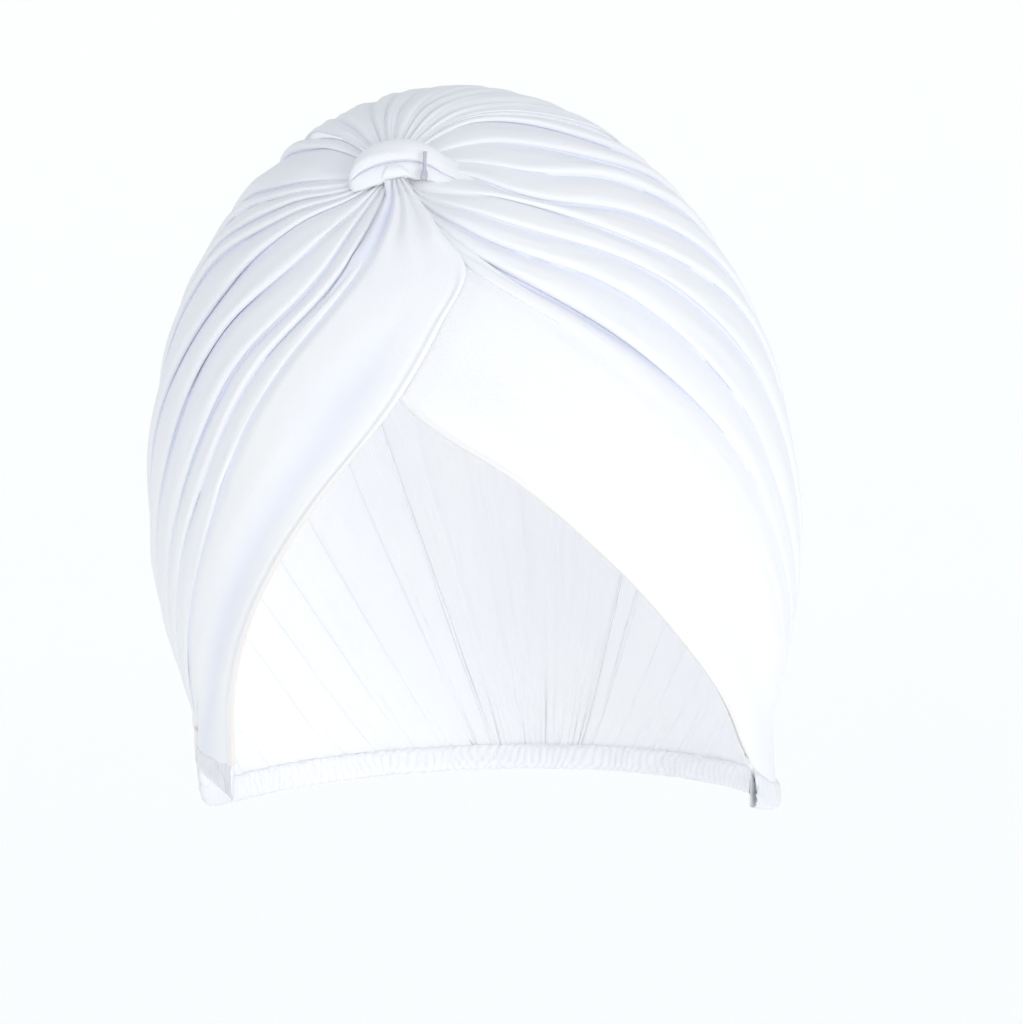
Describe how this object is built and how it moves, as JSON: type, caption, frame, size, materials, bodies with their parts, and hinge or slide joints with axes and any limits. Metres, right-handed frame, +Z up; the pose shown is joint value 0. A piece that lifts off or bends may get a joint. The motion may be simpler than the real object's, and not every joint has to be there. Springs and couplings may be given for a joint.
{
  "type": "prewrapped turban",
  "caption": "Pull-on prewrapped turban cap in white stretch jersey: pleated sides that gather into a front knot, plain crossed face bands and an elastic nape casing.",
  "frame": {"origin": "middle of the head's girth inside the cap, where the head fills it: the head_seat mount", "axes": "+Z up through the crown, -Y the way the wearer faces, +X to the wearer's left"},
  "size_m": [0.1704, 0.2024, 0.1999],
  "materials": {
    "drape_jersey": "matt fine stretch jersey, pleated",
    "band_jersey": "matt fine stretch jersey, folded double and smooth",
    "ruched_casing": "matt jersey gathered over elastic",
    "clear_bar": "clear, polished"
  },
  "bodies": {
    "root": {"crown_fan": "drape_jersey", "knot_wrap": "band_jersey", "left_band": "band_jersey", "left_drape": "drape_jersey", "nape_hem": "ruched_casing", "right_band": "band_jersey", "right_drape": "drape_jersey", "tack_bar": "clear_bar"}
  },
  "joints": []
}
